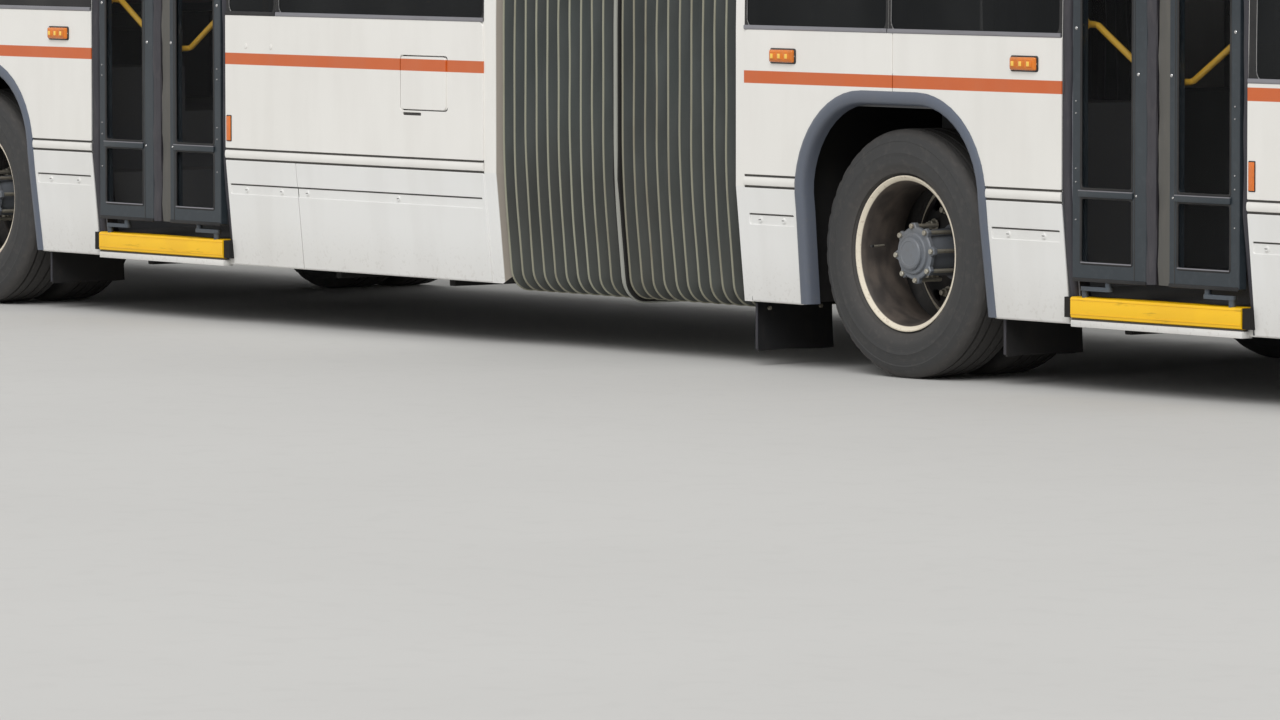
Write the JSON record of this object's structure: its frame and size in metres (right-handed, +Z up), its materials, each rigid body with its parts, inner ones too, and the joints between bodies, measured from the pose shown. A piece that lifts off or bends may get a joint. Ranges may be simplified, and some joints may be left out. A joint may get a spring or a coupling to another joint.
{
  "type": "articulated city bus",
  "caption": "Low-floor articulated city bus: two hollow body halves on a turntable joint with folding bellows, glide doors, steered front wheels and turning wheels.",
  "frame": {"origin": "on the ground under the middle of the bus's bounding box", "axes": "+X forward, +Y to the driver's side away from the doors, +Z up"},
  "size_m": [18.4, 3.11, 3.0499],
  "materials": {
    "body_white": "gloss",
    "frame_dark": "satin",
    "axle_steel": "matt",
    "wheel_steel": "satin",
    "tyre": "matt",
    "rubber": "matt",
    "bellows": "matt",
    "glass": "clear",
    "lamp": "clear",
    "door_grey": "satin",
    "seat": "matt",
    "rail": "gloss",
    "dash": "matt",
    "bumper": "satin",
    "engine": "matt"
  },
  "bodies": {
    "front_body": {"front_underframe": "frame_dark", "front_side_walls": "body_white", "front_side_glass": "glass", "front_roof": "body_white", "front_mask": "body_white", "windscreen": "glass", "front_bumper": "bumper", "front_lamps": "lamp", "front_portal": "body_white", "front_rubbers": "rubber", "front_axles": "axle_steel", "front_seats": "seat", "front_handrails": "rail", "dashboard": "dash", "mirrors": "dash", "bellows": "bellows"},
    "rear_body": {"rear_underframe": "frame_dark", "rear_side_walls": "body_white", "rear_side_glass": "glass", "rear_roof": "body_white", "rear_mask": "body_white", "rear_bumper": "bumper", "rear_lamps": "lamp", "rear_portal": "body_white", "rear_rubbers": "rubber", "rear_axle": "axle_steel", "rear_seats": "seat", "rear_handrails": "rail", "engine": "engine"},
    "centre_hoop": {"centre_hoop": "frame_dark"},
    "steering_wheel": {"steering_wheel": "dash"},
    "knuckle_left": {"knuckle_left": "axle_steel"},
    "knuckle_right": {"knuckle_right": "axle_steel"},
    "fuel_door": {"fuel_door": "body_white"},
    "engine_door": {"engine_door": "body_white"},
    "front_left_wheel": {"tyre_front_left": "tyre", "wheel_front_left": "wheel_steel"},
    "middle_left_wheel": {"tyres_middle_left": "tyre", "wheel_middle_left": "wheel_steel"},
    "rear_left_wheel": {"tyres_rear_left": "tyre", "wheel_rear_left": "wheel_steel"},
    "front_right_wheel": {"tyre_front_right": "tyre", "wheel_front_right": "wheel_steel"},
    "middle_right_wheel": {"tyres_middle_right": "tyre", "wheel_middle_right": "wheel_steel"},
    "rear_right_wheel": {"tyres_rear_right": "tyre", "wheel_rear_right": "wheel_steel"},
    "door_1_rear_arms": {"door_1_arms_rear": "axle_steel"},
    "door_1_rear_leaf": {"door_1_leaf_rear": "door_grey"},
    "door_1_front_arms": {"door_1_arms_front": "axle_steel"},
    "door_1_front_leaf": {"door_1_leaf_front": "door_grey"},
    "door_2_rear_arms": {"door_2_arms_rear": "axle_steel"},
    "door_2_rear_leaf": {"door_2_leaf_rear": "door_grey"},
    "door_2_front_arms": {"door_2_arms_front": "axle_steel"},
    "door_2_front_leaf": {"door_2_leaf_front": "door_grey"},
    "door_3_rear_arms": {"door_3_arms_rear": "axle_steel"},
    "door_3_rear_leaf": {"door_3_leaf_rear": "door_grey"},
    "door_3_front_arms": {"door_3_arms_front": "axle_steel"},
    "door_3_front_leaf": {"door_3_leaf_front": "door_grey"}
  },
  "joints": [
    {"name": "articulation", "type": "hinge", "parent": "front_body", "child": "rear_body", "pos_m": [-1.105, 0, 0.304], "axis": [0, 0, 1], "range_deg": [-44, 44], "deforming": ["bellows"]},
    {"name": "hoop_turn", "type": "hinge", "parent": "front_body", "child": "centre_hoop", "pos_m": [-1.105, 0, 0.304], "axis": [0, 0, 1], "range_deg": [-22, 22]},
    {"name": "steer_left", "type": "hinge", "parent": "front_body", "child": "knuckle_left", "pos_m": [6.45, 0.96, 0.478], "axis": [0, 0, 1], "range_deg": [-40, 40]},
    {"name": "spin_front_left", "type": "hinge", "parent": "knuckle_left", "child": "front_left_wheel", "pos_m": [6.45, 1.112, 0.478], "axis": [0, 1, 0], "continuous": true},
    {"name": "spin_middle_left", "type": "hinge", "parent": "front_body", "child": "middle_left_wheel", "pos_m": [0.6, 0.953, 0.478], "axis": [0, 1, 0], "continuous": true},
    {"name": "spin_rear_left", "type": "hinge", "parent": "rear_body", "child": "rear_left_wheel", "pos_m": [-5.85, 0.953, 0.478], "axis": [0, 1, 0], "continuous": true},
    {"name": "steer_right", "type": "hinge", "parent": "front_body", "child": "knuckle_right", "pos_m": [6.45, -0.96, 0.478], "axis": [0, 0, 1], "range_deg": [-40, 40]},
    {"name": "spin_front_right", "type": "hinge", "parent": "knuckle_right", "child": "front_right_wheel", "pos_m": [6.45, -1.112, 0.478], "axis": [0, 1, 0], "continuous": true},
    {"name": "spin_middle_right", "type": "hinge", "parent": "front_body", "child": "middle_right_wheel", "pos_m": [0.6, -0.953, 0.478], "axis": [0, 1, 0], "continuous": true},
    {"name": "spin_rear_right", "type": "hinge", "parent": "rear_body", "child": "rear_right_wheel", "pos_m": [-5.85, -0.953, 0.478], "axis": [0, 1, 0], "continuous": true},
    {"name": "steering_turn", "type": "hinge", "parent": "front_body", "child": "steering_wheel", "pos_m": [8.3, 0.7, 1.23], "axis": [-0.4226, 0, 0.9063], "range_deg": [-720, 720]},
    {"name": "door_1_rear_arm_turn", "type": "hinge", "parent": "front_body", "child": "door_1_rear_arms", "pos_m": [7.457, -1.278, 1.3], "axis": [0, 0, 1], "range_deg": [0, 90]},
    {"name": "door_1_rear_leaf_turn", "type": "hinge", "parent": "door_1_rear_arms", "child": "door_1_rear_leaf", "pos_m": [7.587, -1.278, 1.3], "axis": [0, 0, 1], "range_deg": [-180, 0]},
    {"name": "door_1_front_arm_turn", "type": "hinge", "parent": "front_body", "child": "door_1_front_arms", "pos_m": [8.263, -1.278, 1.3], "axis": [0, 0, 1], "range_deg": [-90, 0]},
    {"name": "door_1_front_leaf_turn", "type": "hinge", "parent": "door_1_front_arms", "child": "door_1_front_leaf", "pos_m": [8.133, -1.278, 1.3], "axis": [0, 0, 1], "range_deg": [0, 180]},
    {"name": "door_2_rear_arm_turn", "type": "hinge", "parent": "front_body", "child": "door_2_rear_arms", "pos_m": [1.705, -1.278, 1.3], "axis": [0, 0, 1], "range_deg": [0, 90]},
    {"name": "door_2_rear_leaf_turn", "type": "hinge", "parent": "door_2_rear_arms", "child": "door_2_rear_leaf", "pos_m": [1.835, -1.278, 1.3], "axis": [0, 0, 1], "range_deg": [-180, 0]},
    {"name": "door_2_front_arm_turn", "type": "hinge", "parent": "front_body", "child": "door_2_front_arms", "pos_m": [2.511, -1.278, 1.3], "axis": [0, 0, 1], "range_deg": [-90, 0]},
    {"name": "door_2_front_leaf_turn", "type": "hinge", "parent": "door_2_front_arms", "child": "door_2_front_leaf", "pos_m": [2.381, -1.278, 1.3], "axis": [0, 0, 1], "range_deg": [0, 180]},
    {"name": "door_3_rear_arm_turn", "type": "hinge", "parent": "rear_body", "child": "door_3_rear_arms", "pos_m": [-4.718, -1.278, 1.3], "axis": [0, 0, 1], "range_deg": [0, 90]},
    {"name": "door_3_rear_leaf_turn", "type": "hinge", "parent": "door_3_rear_arms", "child": "door_3_rear_leaf", "pos_m": [-4.588, -1.278, 1.3], "axis": [0, 0, 1], "range_deg": [-180, 0]},
    {"name": "door_3_front_arm_turn", "type": "hinge", "parent": "rear_body", "child": "door_3_front_arms", "pos_m": [-3.912, -1.278, 1.3], "axis": [0, 0, 1], "range_deg": [-90, 0]},
    {"name": "door_3_front_leaf_turn", "type": "hinge", "parent": "door_3_front_arms", "child": "door_3_front_leaf", "pos_m": [-4.042, -1.278, 1.3], "axis": [0, 0, 1], "range_deg": [0, 180]},
    {"name": "fuel_door_hinge", "type": "hinge", "parent": "rear_body", "child": "fuel_door", "pos_m": [-2.225, -1.3, 1.063], "axis": [0, 0, 1], "range_deg": [0, 110]},
    {"name": "engine_door_hinge", "type": "hinge", "parent": "rear_body", "child": "engine_door", "pos_m": [-9.1445, 0, 1.3897], "axis": [0, 1, 0], "range_deg": [0, 95]}
  ],
  "couplings": [
    {"joint": "hoop_turn", "follows": "articulation", "ratio": 0.5},
    {"joint": "steer_right", "follows": "steer_left", "ratio": 1},
    {"joint": "steering_turn", "follows": "steer_left", "ratio": 18},
    {"joint": "door_1_rear_leaf_turn", "follows": "door_1_rear_arm_turn", "ratio": -2},
    {"joint": "door_1_front_arm_turn", "follows": "door_1_rear_arm_turn", "ratio": -1},
    {"joint": "door_1_front_leaf_turn", "follows": "door_1_rear_arm_turn", "ratio": 2},
    {"joint": "door_2_rear_leaf_turn", "follows": "door_2_rear_arm_turn", "ratio": -2},
    {"joint": "door_2_front_arm_turn", "follows": "door_2_rear_arm_turn", "ratio": -1},
    {"joint": "door_2_front_leaf_turn", "follows": "door_2_rear_arm_turn", "ratio": 2},
    {"joint": "door_3_rear_leaf_turn", "follows": "door_3_rear_arm_turn", "ratio": -2},
    {"joint": "door_3_front_arm_turn", "follows": "door_3_rear_arm_turn", "ratio": -1},
    {"joint": "door_3_front_leaf_turn", "follows": "door_3_rear_arm_turn", "ratio": 2}
  ]
}
